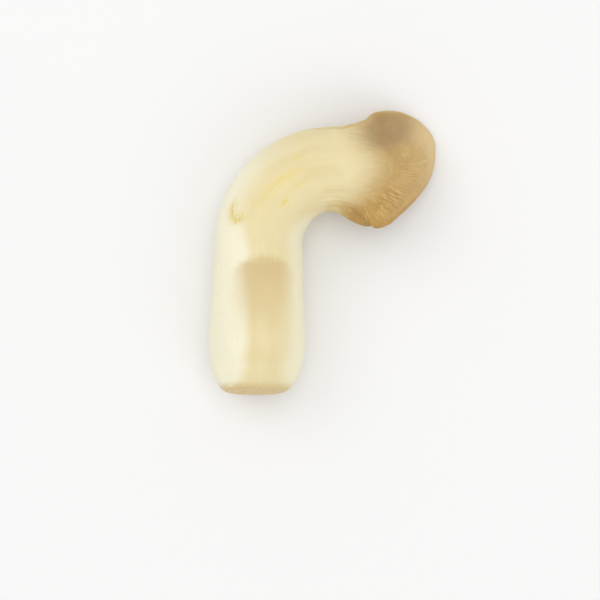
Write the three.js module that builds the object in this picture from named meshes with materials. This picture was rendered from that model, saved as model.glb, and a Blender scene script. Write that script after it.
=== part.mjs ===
import * as THREE from "three";

// King oyster mushroom, lying on its side: a thick bent stem that flares into a cap.
// Millimetres, +Z up. The origin is on the flat under the stem that the mushroom rests on.

const { clamp, degToRad, euclideanModulo, lerp, radToDeg, smoothstep } = THREE.MathUtils;

// Middle line of the stem, from the cut end: straight along +Y, a quarter bend, a short level neck
const STRAIGHT_START_Y = -30.7;
const STRAIGHT_END_Y = 18.3;
const BEND_RADIUS = 25.5;
const NECK_LENGTH = 2;
const BEND_START = STRAIGHT_END_Y - STRAIGHT_START_Y;
const BEND_END = BEND_START + (BEND_RADIUS * Math.PI) / 2;
const NECK_END = BEND_END + NECK_LENGTH;
const NECK_AXIS_Z = 16.5;
const LYING_START = 10;
const LYING_END = 60;
const BASE_LEAN = -1.2;
const BASE_LEAN_LENGTH = 40;

// Stem radius by distance from the cut end
const STEM_RADII = [
  [0, 9.4], [0.5, 10.6], [1.8, 12], [4.5, 13.6], [8.5, 14.9], [14, 15.8], [22, 16],
  [36, 15.5], [49, 15], [62, 14.8], [76, 14.3], [NECK_END, 13.8],
];
const FLAT_DEPTH = 0.35;
const CUT_SLANT = degToRad(7);
const CUT_FADE_LENGTH = 8;
const CUT_HOLLOW = 0.7;

// Shallow lengthwise facets of the stem: angle from the top, half width, depth
const FACETS = [
  { turn: degToRad(-17), width: degToRad(21), depth: 0.6 },
  { turn: degToRad(72), width: degToRad(24), depth: 0.35 },
  { turn: degToRad(-98), width: degToRad(26), depth: 0.45 },
];
const FACET_START = 14;
const FACET_END = 84;
const FACET_FADE = 10;

// Cap: its centre, how far its axis leans from the neck's, and how far its gills face from below
const CAP_CENTRE = new THREE.Vector3(42.5, 44, 15.1);
const CAP_TILT = degToRad(38);
const GILL_FACING = degToRad(12);

// Rim radius by angle round the cap, 0 on the far side from the neck, positive to +Y
const RIM_RADII = [
  [-155, 16], [-130, 19], [-104, 21.8], [-90, 19.8], [-72, 16.7], [-50, 15.4], [-27, 16],
  [-5, 18.5], [20, 22.2], [32, 24], [48, 23.4], [70, 21.4], [92, 19.6], [107, 18.9], [135, 17.5],
  [160, 15], [180, 14],
];
// Height of the dome over the rim's plane at three quarters of the radius, by the same angle
const SHOULDER_HEIGHTS = [
  [-150, 6.8], [-110, 5], [-60, 5.2], [0, 5.2], [60, 4.6], [95, 3], [125, 3.4], [155, 6.2], [180, 7.4],
];
const CAP_HEIGHT = 9;
const DOME_RADIUS = 18.5;
// How far round the margin stands clear of the neck, and where it is lost in the neck's back
const MARGIN_CLEAR = 104;
const MARGIN_LOST = { near: 138, far: 150 };
// From where round the cap the flesh goes straight from the neck to the rim, without a margin that turns in
const MARGIN_FILLED = { near: [66, 100], far: [92, 118] };
const RIM_PLACE = 3;
const RIM_PULL = 0.3;
const RIM_LIFT = 0.4;

// Stations are places along the skin, in millimetres past the neck on a middling section.
// The margin's section: station, distance inside the rim, height off the rim's plane
const LIP = 20;
const MARGIN_SECTION = [
  [LIP, 3.6, -0.3], [22.2, 1.8, -1.9], [23.5, 0.55, -1.3], [25, 0, 0], [26.5, 0.55, 1.3], [27.8, 1.6, 1.9],
];
// The dome's section: part of the radius, rise from the shoulder, and how much rounder it is than the rim
const SHOULDER = 32.5;
const CAP_TOP = 48;
const DOME_SECTION = [
  { station: SHOULDER, reach: 0.76, rise: 0, rounding: 0.3 },
  { station: 38, reach: 0.5, rise: 0.62, rounding: 0.42 },
  { station: 43, reach: 0.25, rise: 0.9, rounding: 0.7 },
  { station: CAP_TOP, reach: 0, rise: 1, rounding: 0.7 },
  { station: 53, reach: -0.25, rise: 0.9, rounding: 0.7 },
];
const NECK_LEAD = 6;
const FLARE_STATIONS = [5, 10, 15];
// Pulls that shape a section, as parts of the distance that it spans
const NECK_PULL = 0.55;
const LIP_PULL = 0.35;
const SHOULDER_PULL = 0.5;
const SHOULDER_LIFT = 0.5;
// Flesh that fills the corner between the neck and the cap on the inside of the bend
const FILLET = { turn: degToRad(-82), width: degToRad(36), size: 2.2, grow: [-8, 7], fade: [11, LIP + 0.5] };

// Gills: thin ribs that run down the neck and under the cap
const GILL_COUNT = 38;
const GILL_SECTOR = degToRad(122);
const GILL_FULL_SECTOR = degToRad(88);
const GILL_DEPTH = 2.4;
const GILL_START = NECK_END - 15;
const GILL_FULL_START = NECK_END + 2;
const GILL_FULL_END = NECK_END + 15;
const GILL_EASE = 1.5;
// Share of the depth that stands out of the skin, on the neck and under the cap
const GILL_RAISED = { neck: 0.1, cap: 0.7, change: [-2, 10] };
const GILL_PROFILE = [
  { part: 0, raise: 0 }, { part: 0.38, raise: 0 }, { part: 0.48, raise: 1 }, { part: 0.9, raise: 1 },
];

// Fineness of the skin
const SIDES = 60;
const CUT_ROWS = [0, 0.5, 1.8, 4.5, 7.5, 10.5];
const STEM_STEP = 3;
const GILL_STEM_STEPS = 5;
const CAP_GILL_ROWS = [4, 8, 11.5, 14.5, 17.3, LIP];
const CAP_SKIN_ROWS = [...MARGIN_SECTION.slice(1).map((key) => key[0]), 30, SHOULDER, 35.5, 38.5, 41.5, 44.5];
const NORMAL_STEP = 0.01;

const UP = new THREE.Vector3(0, 0, 1);
const NECK_DIRECTION = new THREE.Vector3(1, 0, 0);

// A smooth value through [place, value] pairs
function valueThrough(pairs) {
  const places = pairs.map((pair) => pair[0]);
  const line = new THREE.CubicInterpolant(places, pairs.map((pair) => pair[1]), 1);
  return (place) => line.evaluate(clamp(place, places[0], places.at(-1)))[0];
}

// The same round a full turn in degrees
function valueAround(pairs) {
  const before = pairs.slice(-3).map(([degrees, value]) => [degrees - 360, value]);
  const after = pairs.slice(0, 3).map(([degrees, value]) => [degrees + 360, value]);
  return valueThrough([...before, ...pairs, ...after]);
}

const stemRadius = valueThrough(STEM_RADII);
const rimRadius = valueAround(RIM_RADII);
const shoulderHeight = valueAround(SHOULDER_HEIGHTS);

const gillFacing = new THREE.Vector3(0, -Math.sin(GILL_FACING), -Math.cos(GILL_FACING));
const capAxis = NECK_DIRECTION.clone().multiplyScalar(Math.sin(CAP_TILT));
capAxis.addScaledVector(gillFacing, -Math.cos(CAP_TILT));
const capFar = NECK_DIRECTION.clone().multiplyScalar(Math.cos(CAP_TILT));
capFar.addScaledVector(gillFacing, Math.sin(CAP_TILT));
const capAcross = capAxis.clone().cross(capFar);

// Point on the stem's middle line, with the direction to the outside of the bend
function middleLine(along) {
  const bend = clamp((along - BEND_START) / BEND_RADIUS, 0, Math.PI / 2);
  const lean = Math.max(0, 1 - along / BASE_LEAN_LENGTH);
  const lyingZ = stemRadius(clamp(along, LYING_START, LYING_END)) - FLAT_DEPTH;
  const point = new THREE.Vector3(
    BEND_RADIUS * (1 - Math.cos(bend)) + Math.max(0, along - BEND_END) + BASE_LEAN * lean * lean,
    STRAIGHT_START_Y + Math.min(along, BEND_START) + BEND_RADIUS * Math.sin(bend),
    lerp(lyingZ, NECK_AXIS_Z, smoothstep(along, LYING_END, NECK_END)),
  );
  const forward = new THREE.Vector3(Math.sin(bend), Math.cos(bend), 0);
  const outward = new THREE.Vector3(-Math.cos(bend), Math.sin(bend), 0);
  return { point, forward, outward };
}

// Angle from one direction to another, from -PI to PI
function angleBetween(a, b) {
  return euclideanModulo(a - b + Math.PI, 2 * Math.PI) - Math.PI;
}

function facetDepth(turn, along) {
  const begin = smoothstep(along, FACET_START, FACET_START + FACET_FADE);
  const end = 1 - smoothstep(along, FACET_END - FACET_FADE, FACET_END);
  const depth = FACETS.reduce((sum, facet) => {
    const away = angleBetween(turn, facet.turn) / facet.width;
    return sum + facet.depth * Math.exp(-away * away);
  }, 0);
  return depth * begin * end;
}

// Point on the stem's skin: turn 0 is its top, and a quarter turn is the outside of the bend
function stemPoint(turn, along) {
  const { point, forward, outward } = middleLine(along);
  const radius = stemRadius(along) - facetDepth(turn, along);
  const slant = Math.tan(CUT_SLANT) * radius * Math.cos(turn) * Math.max(0, 1 - along / CUT_FADE_LENGTH);
  return point
    .addScaledVector(UP, radius * Math.cos(turn))
    .addScaledVector(outward, radius * Math.sin(turn))
    .addScaledVector(forward, slant);
}

// Smooth curve between two points that leaves and arrives by the given pulls
function pulledPoint(start, end, startPull, endPull, t) {
  const square = t * t;
  const cube = square * t;
  return new THREE.Vector3()
    .addScaledVector(start, 2 * cube - 3 * square + 1)
    .addScaledVector(startPull, cube - 2 * square + t)
    .addScaledVector(end, 3 * square - 2 * cube)
    .addScaledVector(endPull, cube - square);
}

// Curve over the cap at one angle, through the neck, the gills' floor, the margin and the dome
function capSection(turn) {
  const round = angleBetween(Math.PI + GILL_FACING, turn);
  const degrees = radToDeg(round);
  const rim = rimRadius(degrees);
  const lost = degrees < 0 ? MARGIN_LOST.near : MARGIN_LOST.far;
  const clear = smoothstep(-Math.abs(degrees), -lost, -MARGIN_CLEAR);
  const outward = capFar.clone().multiplyScalar(Math.cos(round)).addScaledVector(capAcross, Math.sin(round));
  const onCap = (radius, height) =>
    CAP_CENTRE.clone().addScaledVector(outward, radius).addScaledVector(capAxis, height);

  const neck = stemPoint(turn, NECK_END);
  const dome = DOME_SECTION.map(({ station, reach, rise, rounding }) => [
    station,
    onCap(reach * lerp(rim, DOME_RADIUS, rounding), lerp(shoulderHeight(degrees), CAP_HEIGHT, rise)),
  ]);
  const margin = MARGIN_SECTION.map(([station, inside, height]) => [station, onCap(rim - inside, height)]);
  const lip = margin[0][1];
  const shoulder = dome[0][1];

  const lipSpan = neck.distanceTo(lip);
  const neckPull = NECK_DIRECTION.clone().multiplyScalar(NECK_PULL * lipSpan);
  const lipPull = outward.clone().multiplyScalar(LIP_PULL * lipSpan);
  const flare = FLARE_STATIONS.map((station) => [
    station,
    pulledPoint(neck, lip, neckPull, lipPull, station / LIP),
  ]);

  const filled = smoothstep(-degrees, ...MARGIN_FILLED.near) + smoothstep(degrees, ...MARGIN_FILLED.far);
  const [rimStation, rimPoint] = margin[RIM_PLACE];
  const rimSpan = neck.distanceTo(rimPoint);
  const rimNeckPull = NECK_DIRECTION.clone().multiplyScalar(NECK_PULL * rimSpan);
  const rimPull = outward.clone().addScaledVector(capAxis, RIM_LIFT).multiplyScalar(RIM_PULL * rimSpan);
  const underside = [...flare, ...margin.slice(0, RIM_PLACE)].map(([station, key]) => [
    station,
    key.lerp(pulledPoint(neck, rimPoint, rimNeckPull, rimPull, station / rimStation), filled),
  ]);

  const backSpan = neck.distanceTo(shoulder);
  const backNeckPull = NECK_DIRECTION.clone().multiplyScalar(NECK_PULL * backSpan);
  const backShoulderPull = capAxis.clone().multiplyScalar(SHOULDER_LIFT).sub(outward);
  backShoulderPull.multiplyScalar(SHOULDER_PULL * backSpan);
  const edge = [...underside, ...margin.slice(RIM_PLACE)].map(([station, key]) => {
    const back = pulledPoint(neck, shoulder, backNeckPull, backShoulderPull, station / SHOULDER);
    return [station, back.lerp(key, clear)];
  });

  const keys = [[-NECK_LEAD, stemPoint(turn, NECK_END - NECK_LEAD)], [0, neck], ...edge, ...dome];
  const stations = keys.map((key) => key[0]);
  const curve = new THREE.CatmullRomCurve3(keys.map((key) => key[1]));
  return (station) => {
    const next = stations.findIndex((place) => place > station);
    const part = (station - stations[next - 1]) / (stations[next] - stations[next - 1]);
    return curve.getPoint((next - 1 + part) / (stations.length - 1));
  };
}

function filletSize(turn, station) {
  const away = angleBetween(turn, FILLET.turn) / FILLET.width;
  const begin = smoothstep(station - NECK_END, ...FILLET.grow);
  const end = 1 - smoothstep(station - NECK_END, ...FILLET.fade);
  return FILLET.size * Math.exp(-away * away) * begin * end;
}

// Point on the whole skin, without the gills: station runs from the cut end to the cap's top
function skinPoint(turn, station) {
  const point = station <= NECK_END ? stemPoint(turn, station) : capSection(turn)(station - NECK_END);
  const outward = middleLine(station).outward.multiplyScalar(Math.sin(turn));
  outward.addScaledVector(UP, Math.cos(turn));
  point.addScaledVector(outward, filletSize(turn, station));
  point.z = Math.max(0, point.z);
  return point;
}

function skinNormal(turn, station) {
  const round = skinPoint(turn + NORMAL_STEP, station).sub(skinPoint(turn - NORMAL_STEP, station));
  const along = skinPoint(turn, station + NORMAL_STEP).sub(skinPoint(turn, station - NORMAL_STEP));
  return along.cross(round).normalize();
}

function gillDepth(turn, station) {
  const away = Math.abs(angleBetween(turn, Math.PI + GILL_FACING));
  const round = smoothstep(-away, -GILL_SECTOR, -GILL_FULL_SECTOR);
  const begin = smoothstep(station, GILL_START, GILL_FULL_START);
  const end = 1 - smoothstep(station, GILL_FULL_END, NECK_END + LIP);
  return GILL_DEPTH * round * begin ** GILL_EASE * end;
}

// Columns of a plain ring, and of a ring whose underside is ribbed by the gills
function plainColumns() {
  return Array.from({ length: SIDES }, (unused, side) => ({ turn: (side * 2 * Math.PI) / SIDES, raise: 0 }));
}

function gilledColumns() {
  const first = Math.PI + GILL_FACING - GILL_SECTOR;
  const pitch = (2 * GILL_SECTOR) / GILL_COUNT;
  const ribs = [];
  for (let gill = 0; gill < GILL_COUNT; gill += 1) {
    ribs.push(...GILL_PROFILE.map(({ part, raise }) => ({ turn: first + (gill + part) * pitch, raise })));
  }
  const last = first + 2 * GILL_SECTOR;
  const outside = plainColumns().filter(({ turn }) => turn < first - pitch || turn > last + pitch / 2);
  return [...outside, ...ribs, { turn: last, raise: 0 }].sort((a, b) => a.turn - b.turn);
}

// Builds the closed skin as rings of points joined by triangles
function mushroomGeometry() {
  const positions = [];
  const triangles = [];
  const addPoint = (point) => positions.push(...point.toArray()) / 3 - 1;

  const ring = (columns, station) =>
    columns.map(({ turn, raise }) => {
      const point = skinPoint(turn, station);
      const depth = gillDepth(turn, station);
      if (depth > 0) {
        const share = smoothstep(station - NECK_END, ...GILL_RAISED.change);
        const raised = raise - 1 + lerp(GILL_RAISED.neck, GILL_RAISED.cap, share);
        point.addScaledVector(skinNormal(turn, station), depth * raised);
      }
      point.z = Math.max(0, point.z);
      return { turn, index: addPoint(point) };
    });

  // Joins two rings, whose columns may differ, by walking round both together
  const join = (near, far) => {
    let a = 0;
    let b = 0;
    const turnOf = (points, place) =>
      points[place % points.length].turn + (place >= points.length ? 2 * Math.PI : 0);
    while (a < near.length || b < far.length) {
      const nearNow = near[a % near.length].index;
      const farNow = far[b % far.length].index;
      const stepNear = a < near.length && (b >= far.length || turnOf(near, a + 1) <= turnOf(far, b + 1));
      if (near.length === far.length) {
        const nearNext = near[(a + 1) % near.length].index;
        const farNext = far[(b + 1) % far.length].index;
        triangles.push(nearNow, farNext, nearNext, nearNow, farNow, farNext);
        a += 1;
        b += 1;
      } else if (stepNear) {
        a += 1;
        triangles.push(nearNow, farNow, near[a % near.length].index);
      } else {
        b += 1;
        triangles.push(nearNow, farNow, far[b % far.length].index);
      }
    }
  };

  const close = (points, centre, outwardIsForward) => {
    points.forEach(({ index }, place) => {
      const next = points[(place + 1) % points.length].index;
      triangles.push(...(outwardIsForward ? [next, index, centre] : [index, next, centre]));
    });
  };

  const plain = plainColumns();
  const gilled = gilledColumns();
  const stemRows = [...CUT_ROWS];
  while (stemRows.at(-1) + STEM_STEP < GILL_START - 1) {
    stemRows.push(stemRows.at(-1) + STEM_STEP);
  }
  const gillRows = Array.from(
    { length: GILL_STEM_STEPS + 1 },
    (unused, step) => lerp(GILL_START, NECK_END, step / GILL_STEM_STEPS),
  );
  const rings = [
    ...stemRows.map((station) => ring(plain, station)),
    ...gillRows.map((station) => ring(gilled, station)),
    ...CAP_GILL_ROWS.map((station) => ring(gilled, NECK_END + station)),
    ...CAP_SKIN_ROWS.map((station) => ring(plain, NECK_END + station)),
  ];
  rings.slice(1).forEach((far, place) => join(rings[place], far));

  const cut = middleLine(0);
  close(rings[0], addPoint(cut.point.addScaledVector(cut.forward, CUT_HOLLOW)), false);
  close(rings.at(-1), addPoint(skinPoint(0, NECK_END + CAP_TOP)), true);

  const geometry = new THREE.BufferGeometry();
  geometry.setAttribute("position", new THREE.Float32BufferAttribute(positions, 3));
  geometry.setIndex(triangles);
  geometry.computeVertexNormals();
  return geometry;
}

const flesh = new THREE.MeshStandardMaterial({ color: 0xe6d7a4, roughness: 0.6, metalness: 0 });
const mushroom = new THREE.Mesh(mushroomGeometry(), flesh);
mushroom.name = "king_oyster_mushroom";

const part = new THREE.Group();
part.add(mushroom);

export default part;
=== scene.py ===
"""King oyster mushroom lying on its side: its flesh and gills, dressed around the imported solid."""
import math

import bpy
import numpy as np
from bpy.props import FloatProperty, FloatVectorProperty, IntProperty, PointerProperty
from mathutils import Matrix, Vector


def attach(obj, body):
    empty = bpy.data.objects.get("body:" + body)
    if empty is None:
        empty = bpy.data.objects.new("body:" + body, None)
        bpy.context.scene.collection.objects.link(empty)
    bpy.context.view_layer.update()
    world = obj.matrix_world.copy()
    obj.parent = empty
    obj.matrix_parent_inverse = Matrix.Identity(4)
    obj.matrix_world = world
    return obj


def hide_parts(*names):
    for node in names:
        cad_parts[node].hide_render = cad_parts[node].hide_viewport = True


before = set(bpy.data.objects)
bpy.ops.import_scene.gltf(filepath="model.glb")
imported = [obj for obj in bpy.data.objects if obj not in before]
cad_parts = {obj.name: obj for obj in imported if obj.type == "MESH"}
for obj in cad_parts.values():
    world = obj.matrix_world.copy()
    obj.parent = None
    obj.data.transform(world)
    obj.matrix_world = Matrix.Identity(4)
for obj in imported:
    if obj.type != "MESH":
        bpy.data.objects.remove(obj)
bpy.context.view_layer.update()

bl_info = {
    "name": "King oyster mushroom",
    "version": (1, 0, 0),
    "blender": (4, 5, 0),
    "location": "3D View > Sidebar > Mushroom",
    "description": "Makes the flesh, the gills and the stage of a king oyster mushroom",
    "category": "Object",
}

NODE = "king_oyster_mushroom"
BODY = "root"
MM = 0.001
SEED = 11

# The shape, in metres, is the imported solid's own: the numbers down to the gills repeat its source.
# Middle line of the stem, from the cut end: straight along +Y, a quarter bend, a short level neck
STRAIGHT_START_Y = -30.7 * MM
STRAIGHT_END_Y = 18.3 * MM
BEND_RADIUS = 25.5 * MM
NECK_LENGTH = 2 * MM
BEND_START = STRAIGHT_END_Y - STRAIGHT_START_Y
BEND_END = BEND_START + BEND_RADIUS * math.pi / 2
NECK_END = BEND_END + NECK_LENGTH
NECK_AXIS_Z = 16.5 * MM
LYING = (10 * MM, 60 * MM)
BASE_LEAN = -1.2 * MM
BASE_LEAN_LENGTH = 40 * MM

# Stem radius by distance from the cut end
STEM_RADII = MM * np.array([
    (0, 9.4), (0.5, 10.6), (1.8, 12), (4.5, 13.6), (8.5, 14.9), (14, 15.8), (22, 16),
    (36, 15.5), (49, 15), (62, 14.8), (76, 14.3), (NECK_END / MM, 13.8),
])
FLAT_DEPTH = 0.35 * MM
CUT_SLANT = math.radians(7)
CUT_FADE_LENGTH = 8 * MM
CUT_HOLLOW = 0.7 * MM

# Shallow lengthwise facets of the stem: angle from the top, half width, depth
FACETS = (
    (math.radians(-17), math.radians(21), 0.6 * MM),
    (math.radians(72), math.radians(24), 0.35 * MM),
    (math.radians(-98), math.radians(26), 0.45 * MM),
)
FACET_GROW = (14 * MM, 24 * MM)
FACET_FADE = (74 * MM, 84 * MM)

# Cap: its centre, how far its axis leans from the neck's, and how far its gills face from below
CAP_CENTRE = MM * np.array((42.5, 44, 15.1))
CAP_TILT = math.radians(38)
GILL_FACING = math.radians(12)

# Rim radius by angle round the cap, 0 on the far side from the neck, positive to +Y
RIM_RADII = (1, MM) * np.array([
    (-155, 16), (-130, 19), (-104, 21.8), (-90, 19.8), (-72, 16.7), (-50, 15.4), (-27, 16),
    (-5, 18.5), (20, 22.2), (32, 24), (48, 23.4), (70, 21.4), (92, 19.6), (107, 18.9), (135, 17.5),
    (160, 15), (180, 14),
])
# Height of the dome over the rim's plane at three quarters of the radius, by the same angle
SHOULDER_HEIGHTS = (1, MM) * np.array([
    (-150, 6.8), (-110, 5), (-60, 5.2), (0, 5.2), (60, 4.6), (95, 3), (125, 3.4), (155, 6.2), (180, 7.4),
])
CAP_HEIGHT = 9 * MM
DOME_RADIUS = 18.5 * MM
# How far round the margin stands clear of the neck, and where it is lost in the neck's back
MARGIN_CLEAR = 104
MARGIN_LOST_NEAR = 138
MARGIN_LOST_FAR = 150
# Where the margin is filled, by the same angle on both sides. Its underside is then one curve from
# the neck to the rim, a place in the margin's section, which it reaches by this pull and lift
MARGIN_FILLED_NEAR = (66, 100)
MARGIN_FILLED_FAR = (92, 118)
RIM_PLACE = 3
RIM_PULL = 0.3
RIM_LIFT = 0.4

# Stations are places along the skin, past the neck on a middling section.
# The margin's section: station, distance inside the rim, height off the rim's plane
LIP = 20 * MM
MARGIN_SECTION = MM * np.array([
    (20, 3.6, -0.3), (22.2, 1.8, -1.9), (23.5, 0.55, -1.3), (25, 0, 0), (26.5, 0.55, 1.3),
    (27.8, 1.6, 1.9),
])
# The dome's section: station, part of the radius, rise from the shoulder, rounding of the rim
SHOULDER = 32.5 * MM
CAP_TOP = 48 * MM
DOME_SECTION = (MM, 1, 1, 1) * np.array([
    (32.5, 0.76, 0, 0.3), (38, 0.5, 0.62, 0.42), (43, 0.25, 0.9, 0.7), (48, 0, 1, 0.7),
    (53, -0.25, 0.9, 0.7),
])
NECK_LEAD = 6 * MM
FLARE_STATIONS = (5 * MM, 10 * MM, 15 * MM)
NECK_PULL = 0.55
LIP_PULL = 0.35
SHOULDER_PULL = 0.5
SHOULDER_LIFT = 0.5
FILLET_TURN = math.radians(-82)
FILLET_WIDTH = math.radians(36)
FILLET_SIZE = 2.2 * MM
FILLET_GROW = (-8 * MM, 7 * MM)
FILLET_FADE = (11 * MM, LIP + 0.5 * MM)

# Where the gills run and how deep they are
GILL_MIDDLE = math.pi + GILL_FACING
GILL_SECTOR = math.radians(122)
GILL_FULL_SECTOR = math.radians(88)
GILL_START = NECK_END - 15 * MM
GILL_FULL_START = NECK_END + 2 * MM
GILL_FULL_END = NECK_END + 15 * MM
GILL_EASE = 2.4
GILL_RAISED_NECK = 0.1
GILL_RAISED_CAP = 0.7
GILL_RAISED_CHANGE = (-2 * MM, 10 * MM)

# Distance between the skin's rows, by station
ROW_SPACING = MM * np.array([
    (0, 0.3), (3, 0.7), (10, 1.3), (48, 1.3), (53, 0.42), (61, 0.42), (66, 1.1), (78, 0.8), (90, 0.6),
    (113, 0.5), (118, 0.34), (140, 0.4),
])
CUT_ROWS = 14
CUT_FACE = 10 * MM

# Angles round the stem become lengths with this radius
NOMINAL_RADIUS = 15 * MM
# Rough scar: station, angle from the top
SCAR = (57 * MM, math.radians(33))
# Its crescent is part of a ring: middle across and along, radius, half width, height
SCAR_MIDDLE = (0.6 * MM, 0.8 * MM)
SCAR_STRETCH = 1.15
SCAR_RADIUS = 2.3 * MM
SCAR_WIDTH = 1.5 * MM
SCAR_HEIGHT = 0.25 * MM
SCAR_OPENING = (-2.6 * MM, 0.6 * MM)
# Yellow bruises: station, angle from the top, half length, half width, strength
BRUISES = (
    (67 * MM, math.radians(-15), 2 * MM, 1 * MM, 1),
    (74 * MM, math.radians(-11), 6 * MM, 0.9 * MM, 0.45),
    (65 * MM, math.radians(8), 9 * MM, 2.6 * MM, 0.35),
    (70.5 * MM, math.radians(13), 3 * MM, 1.1 * MM, 0.4),
    (78 * MM, math.radians(27), 2.2 * MM, 1.2 * MM, 0.6),
    (75 * MM, math.radians(8), 5 * MM, 1.8 * MM, 0.35),
)
BRUISE_DEPTH = 0.25 * MM
# Beige patch on the stem's top: middle of its upper edge in x and y, half width, how far the edge
# arches, depth
PATCH_MIDDLE = (1.5 * MM, 14.6 * MM)
PATCH_WIDTH = 10.7 * MM
PATCH_ARCH = 6 * MM
PATCH_DEPTH = 0.25 * MM
# Where its upper edge begins and is full, where it fades towards the cut end, the parts of its
# half width where its sides fade, and the heights between which it grows
PATCH_EDGE = (-1.2 * MM, 2 * MM)
PATCH_FADE = (-30 * MM, -4 * MM)
PATCH_SIDES = (0.4, 1.15)
PATCH_HEIGHTS = (22 * MM, 26 * MM)
# How raggedly the upper edge, the fading end and the sides run
PATCH_RAGGED = (1.2 * MM, 2 * MM, 0.7 * MM)
# Painted light on the stem's sides: the stations where it narrows, and where it ends
LIT_SIDES_NARROWING = (46 * MM, 62 * MM)
LIT_SIDES_END = (64 * MM, 88 * MM)
# Lines on the neck's near side: middle and half length past the neck, angle from the top and
# spread, and how many times deeper they are than the other streaks
LINED_PLACE = (-1 * MM, 11 * MM)
LINED_SIDE = (math.radians(-52), math.radians(24))
LINED_DEPTH = 5

# Broad hollow in the cap, with painted shadow over it: x and y of its middle, half length and width,
# slant, how far its edge wanders
HOLLOW_MIDDLE = (43.2 * MM, 57.2 * MM)
HOLLOW_REACH = (9.6 * MM, 7.6 * MM)
HOLLOW_SLANT = 0.4
HOLLOW_WANDER = 0.5 * MM
# Bands along the cap's margin, the rim and two of painted light: middle and half width, past the neck
RIM_BAND = (25 * MM, 2.6 * MM)
# The light band beside the rim is a painted highlight
RIM_HIGHLIGHT_BAND = (30 * MM, 1.8 * MM)
LIT_MARGIN_BAND = (30 * MM, 8 * MM)
# By angle round the cap, in degrees: where the bands begin, where they end, and the middle and
# spread of the near side, where they are strongest
BANDS_BEGIN = (-124, -108)
BANDS_END = (84, 106)
NEAR_MARGIN = (-62, 48)

# The fibrils on the cap fan out from this point of the neck, seen from above
FAN_CENTRE = (28.8 * MM, 44.3 * MM)
FAN_RADIUS = 20 * MM
# By angle round the fan: middle and spread of the golden near side, which carries painted shade, and
# of the painted light on the far margin
WARM_SIDE = (math.radians(-66), math.radians(36))
LIT_MARGIN_SIDE = (math.radians(20), math.radians(32))
# By the same angle: where painted shade towards the hollow begins, and where it is darkest
DUSKY_SIDE = (math.radians(5), math.radians(60))
# Patches of fibrils on the cap: x, y, reach, strength
FIBRIL_PATCHES = (
    (45 * MM, 35 * MM, 3.2 * MM, 1),
    (40.5 * MM, 31.5 * MM, 2.6 * MM, 0.9),
    (36 * MM, 28 * MM, 2.8 * MM, 0.8),
    (56 * MM, 46 * MM, 2.4 * MM, 0.6),
    (50.5 * MM, 42 * MM, 2.4 * MM, 0.45),
)
FIBRILS_ELSEWHERE = 0.09
# How far along +X the cream turns into tan, how much sooner it does so at the neck's sides, how
# far out that is, and how far the edge wanders
TAN_RANGE = (30 * MM, 47 * MM)
TAN_LEAD = 6 * MM
TAN_SIDE = 12 * MM
TAN_WANDER = 0.5 * MM
# How far along +X the floor between the gills turns from cream to golden
FLOOR_CHANGE = (25 * MM, 34 * MM)
# Marks on the cap's top begin, and are full, where the upward part of the normals has these values
FACING_UP = (0.15, 0.5)
HOLLOW_FACING = (0, 0.5)
# The same by place past the neck
HOLLOW_START = (2 * MM, 10 * MM)
DUSKY_START = (5 * MM, 12 * MM)
WARM_START = (-4 * MM, 5 * MM)
TAN_START = (-8 * MM, 4 * MM)
# The same by distance from the fan's centre
DUSKY_DISTANCE = (9 * MM, 16 * MM)
WARM_DISTANCE = (10 * MM, 17 * MM)
# Band of the near side that is less golden: middle and half width, past the neck
WARM_GAP = (30 * MM, 2.4 * MM)
# How far from the cut end its darker rim fades
CUT_RIM = (0.2 * MM, 3.5 * MM)

# Where the stem's relief grows from the cut end, and where it fades round the neck
RELIEF_GROW = (0, 6 * MM)
RELIEF_FADE = (-6 * MM, 12 * MM)
# Waves of each relief: how many go round, how long they are, and how many are summed
LUMP_WAVES = ((2, 6), (22 * MM, 60 * MM))
STREAK_WAVES = ((14, 60), (25 * MM, 90 * MM))
FAN_WAVES = ((110, 200), (7 * MM, 16 * MM), 60)
BLOTCH_WAVES = ((2, 9), (9 * MM, 26 * MM))
SCAR_WAVES = ((25, 75), (1.6 * MM, 5 * MM))
CUT_WAVES = ((3, 16), (3 * MM, 9 * MM))
# Roughness of the cut face: depth, middle and half width of its ring as parts of the radius
CUT_ROUGHNESS = 0.1 * MM
CUT_RING = (0.62, 0.25)

# Gill blades: how deep their roots are sunk, how much of the wave they follow from end to end, how
# far along it the next blade is, and the step on the unrolled map that gives their direction
GILL_SUNK = 0.5 * MM
WAVE_TURNS = 3
WAVE_SHIFT = 7.3
AHEAD = 0.004

# The floor: half its width, its height and the sides of its corners
FLOOR_REACH = 3
FLOOR_Z = -0.05 * MM
FLOOR_CORNERS = ((-1, -1), (1, -1), (1, 1), (-1, 1))
# Lights: name, place, width, the setting that holds the power, colour
LIGHTS = (
    ("key light", (-1.1, 0.75, 1.4), 1.3, "key_power", (1, 0.98, 0.95)),
    ("top light", (0.1, 0.3, 2.2), 1.6, "top_power", (1, 1, 1)),
    ("fill light", (1.1, -0.9, 1.2), 1.3, "fill_power", (1, 0.98, 0.95)),
)
# Middle of the picture on the floor
PICTURE_MIDDLE = (13.83 * MM, 0)

# Masks of the skin that its finish reads, kept as attributes of its points
MASKS = (
    "tan", "fibril", "hollow", "rim", "rim_line", "warm", "margin", "patch", "pale", "scar", "bruise",
    "lined", "gill_floor", "cut",
)


def tone(red, green, blue):
    """Scene colour of a screen tone, whose parts run from 0 to 255."""
    parts = np.array((red, green, blue)) / 255
    return tuple(np.where(parts <= 0.04045, parts / 12.92, ((parts + 0.055) / 1.055) ** 2.4))


def colour_property(name, description, default):
    return FloatVectorProperty(
        name=name, description=description, default=default, size=3, min=0, max=1, subtype="COLOR"
    )


def length_property(name, description, default):
    return FloatProperty(name=name, description=description, default=default, min=0, unit="LENGTH")


def power_property(name, description, default):
    return FloatProperty(name=name, description=description, default=default, min=0, unit="POWER")


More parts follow.
